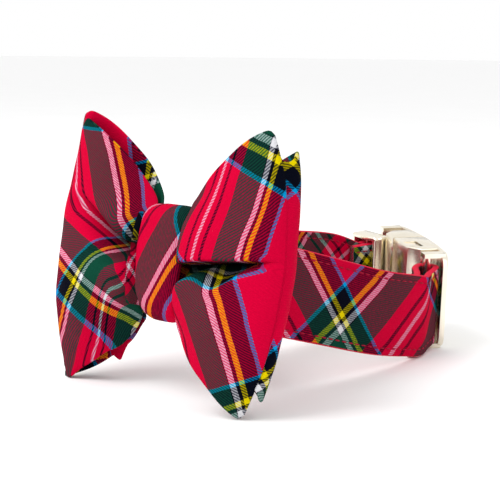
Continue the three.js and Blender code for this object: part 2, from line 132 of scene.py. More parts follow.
# the band's route, which also places everything else
band = {
    "width": 25, "thick": 2.2, "tail": 17, "doubled": 2.6, "sag": 1.1,
    "route": [(19.2, 74, 14.4), (19.6, 58, 17.6), (18.6, 34, 24.4), (16.2, 14, 30.2), (9, 1.6, 34),
              (0, 0, 34.9), (-8.6, 2.4, 34.4), (-14.5, 14, 32.6), (-19.5, 38, 29), (-22.2, 64, 25),
              (-22.7, 84, 22)],
    "underBow": 5,  # the point of the route that the bow sits on
    "nearBar": (10.9, 92.1, 15.5), "nearLeave": (0.39, -0.92, 0), "nearLift": 2.7,
    "farBar": (-20.0, 110.2, 19.2), "farLeave": (-0.1, -1, 0), "farLift": 1.3,
    "barRadius": 1.5, "gap": 0.3, "tailToBar": 5,
    "slideFromBar": 7.4, "slideLift": 2.0, "slideThrough": 3.9, "pastSlide": 13,
    "upright": 31, "turning": 30,  # each end stands as the buckle does, then turns to lean with the bow
    "leanBack": 12.0, "settle": 0.78,
}
leanBack = math.radians(band["leanBack"])
frontUp = np.array([0, math.sin(leanBack), math.cos(leanBack)])
chord = unit(np.subtract(band["nearBar"], band["farBar"]))
buckleUp = across([0, 0, 1], chord)


def foldedEnd(bar, leave, side, lift):
    # one end of the band: round its bar and back along its own inner side
    way = across(leave, buckleUp)
    out = unit(np.cross(way, buckleUp) * side)
    turn = band["barRadius"] + band["gap"] + band["thick"] / 2
    inner = lift - band["doubled"]
    slideOut = max(lift, band["slideLift"])
    spots = [(band["tail"], inner), (band["pastSlide"], inner),
             (band["slideFromBar"], slideOut - band["slideThrough"]), (3, -turn)]
    for degrees in (-75, -30, 15, 60):
        t = math.radians(degrees)
        spots.append((-turn * math.cos(t), turn * math.sin(t)))
    spots += [(1.5, turn), (band["slideFromBar"], slideOut), (band["pastSlide"], lift)]
    return [np.array(bar) + a * way + o * out - band["sag"] * buckleUp for a, o in spots]


nearEnd = foldedEnd(band["nearBar"], band["nearLeave"], -1, band["nearLift"])
farEnd = foldedEnd(band["farBar"], band["farLeave"], 1, band["farLift"])
bandLine = rounded(nearEnd + [np.array(p, float) for p in band["route"]] + farEnd[::-1])
bandLength = bandLine[1][-1]


def bandFrame(distance):
    # middle line, its way, the width's way and the outward way, at distances along the band
    distance = np.atleast_1d(np.asarray(distance, float))
    point, way = pointOn(bandLine, distance), wayOn(bandLine, distance)
    fromEnd = np.minimum(distance, bandLength - distance)
    inFront = smooth((fromEnd - band["upright"]) / band["turning"])[:, None]
    up = across(buckleUp * (1 - inFront) + frontUp * inFront, way)
    return point, way, up, unit(np.cross(up, way))


# the pieces are drawn in the collar's own millimetres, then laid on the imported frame
settle = math.radians(band["settle"])
turnDown = np.array([[1, 0, 0],
                     [0, math.cos(settle), -math.sin(settle)],
                     [0, math.sin(settle), math.cos(settle)]])
bandPoint, _, bandUp, bandOut = bandFrame(np.linspace(0, bandLength, 400))
toEdge = bandUp * band["width"] / 2
toFace = bandOut * (band["thick"] / 2 - 0.2)
bandEdges = np.concatenate([bandPoint + k * toEdge + n * toFace
                            for k in (-1, 1) for n in (-1, 1)]) @ turnDown.T
bandLow, bandHigh = (np.array(corner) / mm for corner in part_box("collar_band"))
placeShift = (bandLow + bandHigh) / 2 - (bandEdges.min(0) + bandEdges.max(0)) / 2
bandOver = bandEdges.max(0) - bandEdges.min(0) - (bandHigh - bandLow)
print("band box against the frame (mm):", np.round(bandOver, 2))


def laid(points):
    return (np.asarray(points, float) @ turnDown.T + placeShift) * mm


def laidWay(v):
    return np.asarray(v, float) @ turnDown.T


# the camera
eye = {"turn": 44.0, "height": 8.5, "spot": (272.8, -258.3, 96.45), "lens": 100.8}
az, el = math.radians(eye["turn"]), math.radians(eye["height"])
backWay = np.array([math.sin(az) * math.cos(el), -math.cos(az) * math.cos(el), math.sin(el)])
rightWay = np.array([math.cos(az), math.sin(az), 0.0])
upWay = np.cross(backWay, rightWay)
camera = placed("camera", bpy.data.cameras.new("camera"))
axes = np.stack([laidWay(rightWay), laidWay(upWay), laidWay(backWay)], 1)
eyePlace = Matrix.Translation(Vector(laid([eye["spot"]])[0]))
camera.matrix_world = eyePlace @ Matrix(axes.tolist()).to_4x4()
camera.data.lens = eye["lens"]
camera.data.sensor_width = 36.0
camera.data.clip_start = 0.01
scene.camera = camera


# shader maths

class Wire:
    # one output socket that can be used in sums
    def __init__(self, finish, socket):
        self.finish, self.socket = finish, socket

    def __add__(self, other):
        return self.finish.maths("ADD", self, other)

    def __sub__(self, other):
        return self.finish.maths("SUBTRACT", self, other)

    def __rsub__(self, other):
        return self.finish.maths("SUBTRACT", other, self)

    def __mul__(self, other):
        return self.finish.maths("MULTIPLY", self, other)

    def __truediv__(self, other):
        return self.finish.maths("DIVIDE", self, other)

    __radd__ = __add__


class Finish:
    # one material under construction
    def __init__(self, name):
        self.material = bpy.data.materials.new(name)
        self.material.use_nodes = True
        self.tree = self.material.node_tree
        self.tree.nodes.clear()

    def named(self, sockets, key):
        if isinstance(key, int):
            return sockets[key]
        return [s for s in sockets if key in (s.identifier, s.name) and s.enabled][0]

    def node(self, kind, settings=None, inputs=None):
        made = self.tree.nodes.new(kind)
        for key, value in (settings or {}).items():
            if key == "stops":
                ramp = made.color_ramp
                while len(ramp.elements) > 1:
                    ramp.elements.remove(ramp.elements[-1])
                ramp.elements[0].position, ramp.elements[0].color = value[0]
                for place, colour in value[1:]:
                    ramp.elements.new(place).color = colour
            elif key == "interpolation":
                made.color_ramp.interpolation = value
            else:
                setattr(made, key, value)
        for key, value in (inputs or {}).items():
            socket = self.named(made.inputs, key)
            if isinstance(value, Wire):
                self.tree.links.new(value.socket, socket)
            else:
                socket.default_value = value
        return made

    def out(self, made, key=0):
        return Wire(self, self.named(made.outputs, key))

    def maths(self, operation, a, b=None):
        values = {0: a} if b is None else {0: a, 1: b}
        return self.out(self.node("ShaderNodeMath", {"operation": operation}, values))

    def mix(self, factor, a, b, how="MIX"):
        made = self.node("ShaderNodeMix", {"data_type": "RGBA", "blend_type": how},
                         {"Factor_Float": factor, "A_Color": a, "B_Color": b})
        return self.out(made, "Result_Color")

    def grey(self, value):
        return self.out(self.node("ShaderNodeCombineColor", None, {0: value, 1: value, 2: value}))

    def noise(self, where, scale, detail, flat=False, rough=0.5):
        made = self.node("ShaderNodeTexNoise", {"noise_dimensions": "2D" if flat else "3D"},
                         {"Vector": where, "Scale": scale, "Detail": detail, "Roughness": rough})
        return self.out(made, "Fac")

    def ramp(self, stops, at, between="LINEAR"):
        return self.node("ShaderNodeValToRGB", {"interpolation": between, "stops": stops}, {"Fac": at})

    def bump(self, height, depth, strength=1.0):
        return self.out(self.node("ShaderNodeBump", None, {
            "Height": height, "Distance": depth * mm, "Strength": strength}))

    def place(self):
        return self.out(self.node("ShaderNodeTexCoord"), "Object")

    def finishWith(self, surface):
        shader = self.node("ShaderNodeBsdfPrincipled", None, surface)
        output = self.node("ShaderNodeOutputMaterial")
        self.tree.links.new(shader.outputs[0], output.inputs["Surface"])
        return self.material


# the tartan: both ways of the cloth carry the same half sett, mirrored at each pivot
tartan = {
    # colour and width in mm, from the white pivot to the red one
    "half": [("white", 0.5), ("red", 1.9), ("black", 1.0), ("red", 3.7), ("green", 7.4),
             ("black", 0.3), ("white", 1.6), ("black", 0.95), ("yellow", 1.45), ("black", 3.9),
             ("blue", 1.0), ("red", 13.5)],
    "dye": {"white": (0.98, 0.98, 1.0), "red": (0.90, 0.0, 0.24), "black": (0.06, 0.07, 0.12),
            "green": (0.09, 0.31, 0.24), "yellow": (1.0, 0.90, 0.02), "blue": (0.0, 0.66, 0.93)},
    "full": {"green": 0.12},  # thicker threads, which show more than the ones they cross
    "thread": {"bow": 0.22, "band": 0.175},  # mm from one thread to the next
    "twist": {"bow": 0.25, "band": 0.2},  # how much more one set shows on top of each rib
    "uneven": 0.45,  # how much that wanders from thread to thread
    "wander": 0.25,  # mm that a stripe wanders
    "bright": 0.60,
    # how much of that the painted fold shade takes away
    "paintedShadeDepth": 0.9,  # how much of that a deep fold takes away
    "ribHeight": 0.05,  # mm
}
halfSett = sum(width for _, width in tartan["half"])


def settStops():
    # the sett's colours, with how full their threads are in the alpha
    stops, at = [], 0.0
    for colour, width in tartan["half"]:
        stops.append((at / halfSett, (*tartan["dye"][colour], tartan["full"].get(colour, 0.0))))
        at += width
    return stops


def tartanCloth(kind):
    pitch = tartan["thread"][kind]
    f = Finish(kind + "_tartan")
    uv = f.out(f.node("ShaderNodeUVMap", {"uv_map": "cloth"}))
    split = f.node("ShaderNodeSeparateXYZ", None, {0: uv})
    drift = (f.noise(uv, 260.0, 2.0, flat=True) - 0.5) * tartan["wander"]
    p = f.out(split, 0) * 1000.0 + drift  # mm across the first set of threads
    q = f.out(split, 1) * 1000.0 - drift  # and across the second
    sets, fullness = [], []
    for place in (p, q):
        folded = f.maths("PINGPONG", place, halfSett) / halfSett
        ramp = f.ramp(settStops(), folded, "CONSTANT")
        sets.append(f.out(ramp, "Color"))
        fullness.append(f.out(ramp, "Alpha"))
    # a two and two twill: ribs run slantwise to both sets
    rib = f.maths("FRACT", (q - p) / (4 * pitch))
    wave = f.maths("SINE", rib * (2 * math.pi))
    slub = f.noise(uv, 1400.0, 3.0, flat=True, rough=0.7)
    share = (0.5 + wave * tartan["twist"][kind] + (slub - 0.5) * tartan["uneven"]
             + fullness[1] - fullness[0])
    woven = f.mix(share, sets[0], sets[1])
    # single threads: a little darker between them
    grain = f.maths("SINE", p * (2 * math.pi / pitch)) + f.maths("SINE", q * (2 * math.pi / pitch))
    cloudy = f.noise(uv, 60.0, 2.0, flat=True)
    shade = 0.90 + slub * 0.14 + cloudy * 0.06 + grain * 0.012 + wave * 0.02
    woven = f.mix(1.0, woven, f.grey(shade), "MULTIPLY")
    dyed = f.out(f.node("ShaderNodeGamma", None, {"Color": woven, "Gamma": 2.2}))
    # painted shade: the colour is darkened inside deep folds and beside the knot
    paintedShadeMask = f.out(f.node("ShaderNodeAttribute", {"attribute_name": "fold"}), "Fac")
    bright = (1.0 - paintedShadeMask * tartan["paintedShadeDepth"]) * tartan["bright"]
    dyed = f.mix(1.0, dyed, f.grey(bright), "MULTIPLY")
    height = f.maths("ABSOLUTE", f.maths("SINE", rib * math.pi)) + grain * 0.12 + slub * 0.5
    return f.finishWith({"Base Color": dyed, "Roughness": 0.82 - slub * 0.12,
                         "Normal": f.bump(height, tartan["ribHeight"], 0.8),
                         "Specular IOR Level": 0.02})


def redThread(name, deep, light):
    f = Finish(name)
    spot = f.place()
    ply = f.node("ShaderNodeTexWave", {"wave_type": "BANDS", "bands_direction": "DIAGONAL"},
                 {"Vector": spot, "Scale": 900.0, "Distortion": 1.0})
    tone = f.out(ply, "Fac") * 0.5 + f.noise(spot, 3000.0, 2.0) * 0.5
    colour = f.ramp([(0.0, (*deep, 1)), (1.0, (*light, 1))], tone)
    return f.finishWith({"Base Color": f.out(colour), "Roughness": 0.7,
                         "Normal": f.bump(tone, 0.04), "Specular IOR Level": 0.15})


gold = {
    "deep": (0.82, 0.75, 0.61), "light": (0.92, 0.86, 0.74),
    "rough": 0.15, "scuffed": 0.10, "brushed": 0.06,  # what scuffs and brush marks add to it
    "markDepth": 0.004,  # mm
}


def paleGold(name):
    f = Finish(name)
    spot = f.place()
    scuff = f.noise(spot, 420.0, 6.0, rough=0.65)
    stretched = f.node("ShaderNodeMapping", None, {"Vector": spot, "Scale": (1.0, 1.0, 14.0)})
    brush = f.noise(f.out(stretched), 260.0, 3.0)
    stops = [(0.3, (*gold["deep"], 1)), (0.7, (*gold["light"], 1))]
    colour = f.ramp(stops, f.noise(spot, 70.0, 2.0))
    rough = gold["rough"] + scuff * gold["scuffed"] + brush * gold["brushed"]
    return f.finishWith({"Base Color": f.out(colour), "Metallic": 1.0, "Roughness": rough,
                         "Normal": f.bump(scuff + brush, gold["markDepth"], 0.25)})


bowTartan = tartanCloth("bow")
bandTartan = tartanCloth("band")
# painted highlight: a bright red line along each folded edge of the band, standing in for the light that
# edge catches
redEdgeHighlight = redThread("red_piping", (0.40, 0.0, 0.02), (0.70, 0.004, 0.045))
stitchThread = redThread("red_stitches", (0.20, 0.0, 0.015), (0.40, 0.002, 0.03))
goldMetal = paleGold("pale_gold")
print("materials made")


# mesh makers

def meshFrom(name, points, faces, materials, uvOfCorner=None, smoothFaces=True, kinds=None):
    mesh = bpy.data.meshes.new(name)
    mesh.from_pydata(np.asarray(points).tolist(), [], np.asarray(faces).tolist())
    if uvOfCorner is not None:
        layer = mesh.uv_layers.new(name="cloth")
        layer.data.foreach_set("uv", np.asarray(uvOfCorner, np.float32).ravel())
    for material in materials:
        mesh.materials.append(material)
    if kinds is not None:
        mesh.polygons.foreach_set("material_index", np.asarray(kinds, np.int32))
    mesh.polygons.foreach_set("use_smooth", [smoothFaces] * len(mesh.polygons))
    mesh.update()
    return placed(name, mesh)


def volumeOf(points, faces):
    a, b, c, d = (points[faces[:, k]] for k in range(4))
    return (a * (np.cross(b, c) + np.cross(c, d))).sum() / 6


def tubeMesh(name, rings, materials, uv=None, closed=True, kinds=None):
    # rings (n, m, 3) of closed sections in metres, joined one to the next; uv is where each stretch
    # between two rings starts and where it ends, in mm of cloth; kinds are the materials round a ring
    n, m = rings.shape[:2]
    i, j = np.meshgrid(np.arange(n if closed else n - 1), np.arange(m), indexing="ij")
    i2, j2 = (i + 1) % n, (j + 1) % m
    faces = np.stack([i * m + j, i * m + j2, i2 * m + j2, i2 * m + j], -1).reshape(-1, 4)
    corners = np.zeros((len(faces), 4, 2))
    if uv is not None:
        start, end = uv
        corners = np.stack([start[:, :-1], start[:, 1:], end[:, 1:], end[:, :-1]], 2)
        corners = corners.reshape(-1, 4, 2) * mm
    kinds = np.tile(np.zeros(m, int) if kinds is None else kinds, len(i))
    if not closed:  # each end closes with strips across its section
        k = np.arange(m // 2 - 1)
        strips = np.stack([k, m - 1 - k, m - 2 - k, k + 1], -1)
        back = strips[:, ::-1]
        faces = np.vstack([faces, strips, back + (n - 1) * m])
        corners = np.vstack([corners, start[0][strips] * mm, end[-1][back] * mm])
        kinds = np.append(kinds, np.zeros(2 * len(strips), int))
    points = rings.reshape(-1, 3)
    if volumeOf(points, faces) < 0:
        faces, corners = faces[:, ::-1], corners[:, ::-1]
    return meshFrom(name, points, faces, materials, None if uv is None else corners, True, kinds)


def bothFaces(outer, inner):
    # a section's ring: across the outer face and back across the inner one
    return np.concatenate([outer, inner[:, ::-1]], 1)


def thereAndBack(c):
    return np.concatenate([c, c[::-1], c[:1]])


def threadAt(lie, first, second):
    # mm across one set of threads, where the cloth lies plain
    slope = math.radians(lie["slope"])
    return lie["through"] + lie["close"] * (first * math.sin(slope) - second * math.cos(slope))


# the bow's loop
bow = {
    "middle": (0, -11, 38.6),
    "plan": [(0, -0.9), (5, -1.2), (8.4, -3.3), (15, -5.0), (26, -6.2), (36, -3.4), (41.2, 1.0),
             (42.6, 5.2), (39.2, 9.4), (28, 10.6), (16, 8.0), (8, 4.5)],  # from above, front to back
    "backPanel": ([0, 8, 16, 28, 39], [4.0, 4.5, 8.0, 10.6, 9.4]),  # which the fold keeps clear of
    "crease": 2.8,  # how far back the outer crease between front and back panel is
    "pinchHeight": 12.0, "pinchHalf": 7.8, "halfWidth": 42.6, "wall": 1.0, "flattened": 0.5,
    "stations": 300, "rows": 150, "rowsAbout": 0.14,
    # each quarter: how the height rises from the knot, how far its end draws in, how far the end and
    # the edge lie back, the height at the end, and how near the knot the edge lies back most
    "front": {"upperLeft": dict(rise=1.36, narrow=2.0, lie=-1.1, lean=13.0, height=37.4, skew=0.45),
              "lowerLeft": dict(rise=1.64, narrow=5.5, lie=3.9, lean=12.0, height=37.0, skew=0.40),
              "upperRight": dict(rise=1.03, narrow=9.0, lie=-0.7, lean=3.2, height=37.1, skew=0.45),
              "lowerRight": dict(rise=1.06, narrow=10.4, lie=5.4, lean=2.6, height=36.9, skew=0.45)},
    "back": {"upperLeft": dict(rise=1.08, narrow=5.6, lie=-5.0, lean=5.3, height=38.9, skew=0.4),
             "lowerLeft": dict(rise=0.92, narrow=6.2, lie=0.0, lean=4.8, height=36.1, skew=0.9),
             "upperRight": dict(rise=1.6, narrow=5.3, lie=0.8, lean=0.6, height=32.9, skew=0.7),
             "lowerRight": dict(rise=1.6, narrow=5.2, lie=-0.6, lean=4.0, height=31.5, skew=0.9)},
    # the deep fold that runs out from the knot between two lobes
    "tuck": {"Right": dict(depth=11.0, hold=0.62, reach=1.0, atKnot=1.6, atEnd=4.2, above=0.45,
                           mouth=1.4, under=5.2, overhang=2.2, ripple=1.0, near=(2, 7)),
             "Left": dict(depth=9.5, hold=0.05, reach=0.85, atKnot=4.2, atEnd=14.0, above=1.6,
                          mouth=3.0, under=4.2, overhang=1.6, ripple=0.2, near=(0, 5))},
    # ripples of the lower lobe's top: height, distance from the knot and width
    "ripples": [(-2.3, 18.5, 4.0), (0.8, 11.5, 3.5), (-1.2, 4, 4)],
    "lobe": 2.2,
    "notch": dict(deep=5.5, start=34, at=3.6, front=1.1, behind=3.0),  # in both edges at the crease
    "hem": dict(front=1.8, start=11, end=26, back=1.5, corner=(-32.6, -27.5), drop=3.4),
    # cloth of the back panels: where it starts at the outer end, and its rates inwards and upwards
    "behind": {"Left": ((48.0, -0.93, -0.36), (5.5, -0.36, 0.93)),
               "Right": ((41.0, -0.71, -0.71), (37.0, -0.71, 0.71))},
}
# how the bias-cut threads lie in each quarter: its middle, then for each set of threads the one that
# runs there, their slope in degrees, how close they lie, and how they bow, spread and crowd
threads = {
    "upperRight": ((27, 18),
                   dict(through=3.3, slope=83.0, close=1.23, bow=0.16, spread=0.05, crowd=0.08),
                   dict(through=42.7, slope=-26.2, close=0.98, bow=0.04, spread=-0.28, crowd=-0.21)),
    "lowerRight": ((27, -18),
                   dict(through=38.4, slope=18.4, close=1.04, bow=0.04, spread=0.40, crowd=0.03),
                   dict(through=11.3, slope=-70.8, close=0.91, bow=0.24, spread=0.12, crowd=0.02)),
    "upperLeft": ((-27, 18),
                  dict(through=-34.7, slope=21.4, close=0.76, bow=0.70, spread=0.47, crowd=-0.35),
                  dict(through=7.7, slope=-49.3, close=1.42, bow=0.0, spread=0.24, crowd=-0.27)),
    "lowerLeft": ((-27, -18),
                  dict(through=-11.6, slope=54.3, close=1.37, bow=0.03, spread=0.82, crowd=1.06),
                  dict(through=-23.1, slope=-43.1, close=0.53, bow=0.48, spread=0.0, crowd=0.70)),
}
bowPlan = rounded(bow["plan"] + [(-x, y) for x, y in bow["plan"][:0:-1]], closed=True)
planLength = bowPlan[1][-1]
creaseAt = bowPlan[1][np.argmax(bowPlan[0][:, 1] > bow["crease"])]


def rumple(x, z):
    # the slight unevenness of ironed cotton, about -1 to 1
    waves = ((0.23, 0.11, 0.4), (-0.16, 0.27, 1.9), (0.41, -0.22, 4.1), (0.09, 0.52, 2.7),
             (-0.55, -0.13, 5.2))
    return sum(np.sin(a * x + b * z + c) / (1.0 + 2.2 * math.hypot(a, b)) for a, b, c in waves) * 0.6


def clothAt(quarter, sx, sz):
    # where a spot of the quarter lies on the flat cloth, in mm across each set of threads
    (x0, z0), first, second = threads[quarter]
    dx, dz = sx - x0, sz - z0
    found = []
    for lie, turn in ((first, 1), (second, -1)):
        a = math.radians(lie["slope"])
        t = dx * math.cos(a) + dz * math.sin(a)
        n = turn * (dx * math.sin(a) - dz * math.cos(a))
        found.append(lie["through"] + lie["close"] * n
                     + (lie["bow"] * t * t + lie["spread"] * t * n + lie["crowd"] * n * n) / 40)
    return np.stack(found, -1)


def wingValue(w, key):
    # between the wing's lower and upper quarter, and between its front and its back
    front, back = (bow[layer]["lower" + w.name][key] * w.low
                   + bow[layer]["upper" + w.name][key] * (1 - w.low) for layer in ("front", "back"))
    return front * w.inFront + back * w.isBack


def wingHeight(w):
    # half the height of the cloth, which opens out from the knot
    opened = 1 - (1 - w.out) ** wingValue(w, "rise")
    half = bow["pinchHeight"] + (wingValue(w, "height") - bow["pinchHeight"]) * opened
    if w.isRight:
        notch = bow["notch"]
        width = np.where(w.y < notch["at"], notch["front"], notch["behind"])
        creased = hump(w.y, notch["at"], width) * smooth((np.abs(w.x) - notch["start"]) / 5)
        return half - notch["deep"] * creased
    # the left wing's lower hem: drawn up in front, with a loose corner hanging out behind
    hem = bow["hem"]
    span = smooth((w.fromKnot - hem["start"]) / 7) * (1 - smooth((w.fromKnot - hem["end"]) / 7))
    drawnUp = hem["front"] * span * w.inFront + hem["back"] * hump(w.fromKnot, 12, 5) * w.isBack
    outer, inner = hem["corner"]
    corner = np.clip(np.minimum((inner - w.x) / 1.9, (w.x - outer) / 3.1), 0, 1)
    return half - drawnUp * w.low + hem["drop"] * corner * w.isBack * smooth((-w.v - 0.5) / 0.45)


def wingFold(w):
    # how far above the fold each spot is, how deep the fold goes, and how its two lips turn in
    tuck = w.tuck
    w.over = w.flatZ - tuck["atKnot"] - (tuck["atEnd"] - tuck["atKnot"]) * smooth(w.out / 0.7)
    faded = smooth((w.out - tuck["hold"]) / (tuck["reach"] - tuck["hold"]))
    w.deep = (1 - faded) * smooth(w.fromKnot / 1.5) * w.inFront
    below = -w.over - tuck["mouth"] * w.deep
    if w.isRight:  # the lower lobe's top slopes out of the fold and turns down at a clear crease
        slope = below / (tuck["under"] * (0.35 + 0.65 * w.deep))
        lower = np.minimum(1, np.log1p(np.exp(9 * (1 - slope))) / 9)
    else:
        lower = np.exp(-(np.maximum(0, below) / tuck["under"]) ** 1.7)
    w.dip = np.where(w.over > 0, hump(w.over, 0, tuck["above"]), lower)
    sag = 0.6 * smooth((w.fromKnot - 22) / 5)
    sag = sag + sum(high * hump(w.fromKnot, at, width) for high, at, width in bow["ripples"])
    w.ripple = sag * hump(w.over, -7.0, 4.0) * smooth(w.deep * 1.5) * tuck["ripple"]


def wingShape(w):
    tuck, v = w.tuck, w.v
    skew = wingValue(w, "skew")
    bell = w.out ** skew * (1 - w.out) / ((skew / (1 + skew)) ** skew / (1 + skew))
    toTip = np.abs(v) ** 2.2 * w.out
    w.drawnIn = w.side * wingValue(w, "narrow") * toTip
    x = w.x - w.drawnIn
    start, length = tuck["near"]
    near = smooth((0.9 - w.out) / 0.9) * smooth((w.fromKnot - start) / length)
    lobes = np.sin(np.pi * np.minimum(1, np.abs(v) * 1.15)) * bow["lobe"] * near
    rolled = np.abs(v) ** 4 * (1 - smooth(w.fromKnot / 12))
    # gathers that fan out from the knot
    angle = np.arctan2(w.flatZ, np.abs(w.x) + 4)
    gather = np.sin(angle * 9 + 0.8 * w.side) * 0.75 + np.sin(angle * 17 + 2.1) * 0.35
    gather = gather * near * np.exp(-w.fromKnot / 12)
    room = np.interp(np.abs(w.x), *bow["backPanel"]) - w.y - 2.0
    tucked = np.minimum(tuck["depth"], room) * w.deep * w.dip
    lip = 0.5 * w.deep * hump(w.over, 3.4, 3.0)
    y = (w.y + wingValue(w, "lie") * toTip + wingValue(w, "lean") * bell * np.abs(v) ** 2.4
         + w.inFront * (tucked - lip - lobes + rolled + gather - w.ripple * 0.3)
         - w.isBack * (1.6 * rolled + gather))
    y = y + rumple(x, w.flatZ) * 0.30 * smooth(w.fromKnot / 6)
    hang = tuck["overhang"] * w.deep * hump(w.over, 1.5, 1.5)
    hang = hang * smooth(np.where(w.over > 0, 1, 1 + w.over))
    return np.stack([x, y, w.flatZ - hang + w.ripple], -1)


def wingCloth(w, points):
    # each lobe's cloth is measured up and down from beside the fold, so it runs into it undistorted
    z, run = points[..., 2], np.zeros(w.v.shape)
    run[:, 1:] = np.cumsum(np.linalg.norm(np.diff(points[..., 1:], axis=1), axis=-1), axis=1)

    def valueAt(level, values):
        return np.array([np.interp(level, *row) for row in zip(w.over, values)])[:, None]
    lowHeights, highHeights = (valueAt(level, z - run) + run for level in (-6.0, 2.0))
    if w.isRight:  # the threads follow the crease as it dips
        lowHeights = lowHeights - valueAt(-6.0, w.ripple) * smooth((w.over + 14) / 8)
        spread = 0.35 + 4 * smooth((w.out - 0.88) / 0.1)
    else:
        spread = 0.35 + 8 * smooth((w.out - 0.4) / 0.4)
    upper = smooth((w.over + spread) / (2 * spread))[..., None]
    sx = (w.around if w.isRight else w.around - planLength)[:, None] - w.drawnIn
    lowerCloth = clothAt("lower" + w.name, sx, lowHeights)
    upperCloth = clothAt("upper" + w.name, sx, highHeights)
    if w.isRight:  # and they are drawn round the fold's outer end
        lowerCloth[..., 0] += 1.6 * smooth((w.out - 0.76) / 0.16) * smooth((w.over + 9) / 4)
        upperCloth[..., 1] += 3.0 * hump(w.fromKnot, 0, 11) * smooth((6 - w.over) / 6)
        cloth = lowerCloth * (1 - upper) + upperCloth * upper
        cloth[..., 0] += 4.0 * hump(w.over, -0.6, 1.4) * smooth((w.out - 0.80) / 0.1)
    else:  # on the left they bunch up beside the knot, and look dark there
        lowerCloth[..., 0] -= 3.5 * smooth((9 - w.fromKnot) / 7) * smooth((-w.over - 4) / 6)
        cloth = lowerCloth * (1 - upper) + upperCloth * upper
        cloth[..., 0] -= 5.0 * hump(w.fromKnot, 7, 5) * smooth((10 - w.over) / 8) * upper[..., 0]
        bunched = 40 * (1 - smooth((w.over + 0.5) / 1.5)) + 40 * smooth((w.fromKnot - 8) / 4) - 19.3
        cloth[..., 0] = np.minimum(cloth[..., 0], bunched)
    # the back panels are cut from another part of the cloth
    inwards = (w.around - creaseAt if w.isRight else planLength - creaseAt - w.around)[:, None]
    other = np.stack([start + inRate * inwards + upRate * w.flatZ
                      for start, inRate, upRate in bow["behind"][w.name]], -1)
    if not w.isRight:  # the hem behind is turned up from another stripe
        other[..., 1] += 8.0 * smooth((15 - inwards) / 2) * smooth((-w.v - 0.5) / 0.3)
    behind = smooth((w.y - bow["crease"]) / 0.6)[..., None]
    return cloth * (1 - behind) + other * behind


def wingPaintedShade(w):
    # painted shade: how far the cloth's colour is darkened inside the deep fold and close beside the knot
    paintedDark = w.deep * np.where(w.over > 0, w.dip, w.dip ** 3) * 1.15 + 0.5 * hump(w.fromKnot, 0, 2.2)
    paintedDark = np.clip(paintedDark, 0, 1)
    if w.isRight:
        return paintedDark
    # painted shade in the pocket beside the knot on the left
    pocketShade = hump(w.fromKnot, 0, 6) * hump(w.over, 0, 4.5) * w.inFront  # beside the knot
    return np.maximum(paintedDark, 0.95 * pocketShade)


def wing(name, u, v):
    # u goes round the loop seen from above, v from its lower edge to its upper
    w = SimpleNamespace(name=name, isRight=name == "Right", tuck=bow["tuck"][name])
    w.side = 1.0 if w.isRight else -1.0
    w.around = u * planLength
    plan = pointOn(bowPlan, w.around)
    w.x, w.y = plan[:, :1], plan[:, 1:]
    w.v = np.broadcast_to(v, (len(u), len(v)))
    w.fromKnot = np.maximum(0, np.abs(w.x) - bow["pinchHalf"])
    w.out = np.clip(w.fromKnot / (bow["halfWidth"] - bow["pinchHalf"]), 0, 1)
    w.isBack = smooth((w.y - 0.5) / 6)
    w.inFront = 1 - w.isBack
    w.low = smooth((0.25 - w.v) / 0.5)
    w.flatZ = w.v * wingHeight(w)
    if w.isRight:
        w.y = w.y + 2.0 * hump(w.x, 9.5, 2.6) * w.inFront  # room for the knot's edge
    wingFold(w)
    points = wingShape(w)
    return points, wingCloth(w, points), wingPaintedShade(w)


def rowsAcross(count, middle):
    # rows lie closer together about the fold
    fine = np.linspace(-1, 1, 4000)
    density = 1 + 7 * hump(fine, middle, 0.06) + 2.5 * hump(fine, middle, 0.24)
    total = np.concatenate([[0], np.cumsum((density[1:] + density[:-1]) / 2)])
    return np.interp(np.linspace(0, total[-1], count), total, fine)


def toBow(points):
    # from the bow's own upright frame to where it leans on the band
    c, s = math.cos(leanBack), math.sin(leanBack)
    x, y, z = points[..., 0], points[..., 1], points[..., 2]
    mx, my, mz = bow["middle"]
    return np.stack([x + mx, y * c + z * s + my, -y * s + z * c + mz], -1)


def thickened(sheet, wall):
    # (n, m, 3) of a closed loop of cloth to sections round it, with rounded edges; also which column
    # each point of a section came from
    alongU = np.roll(sheet, -1, 0) - np.roll(sheet, 1, 0)
    alongV = np.gradient(sheet, axis=1)
    normal = unit(np.cross(alongU, alongV)) * (wall / 2)
    edges = []
    for column, way in ((-1, 1), (0, -1)):
        outward = unit(alongV[:, column]) * (way * wall / 2)
        cap = []
        for degrees in (45, 90, 135):
            t = math.radians(degrees)
            cap.append(sheet[:, column] + normal[:, column] * math.cos(t) + outward * math.sin(t))
        edges.append(np.stack(cap, 1))
    # up the outer face, over the top edge, down the inner face, under the bottom edge
    m = sheet.shape[1]
    ring = np.concatenate([sheet + normal, edges[0], (sheet - normal)[:, ::-1], edges[1][:, ::-1]], 1)
    return ring, list(range(m)) + [m - 1] * 3 + list(range(m))[::-1] + [0] * 3


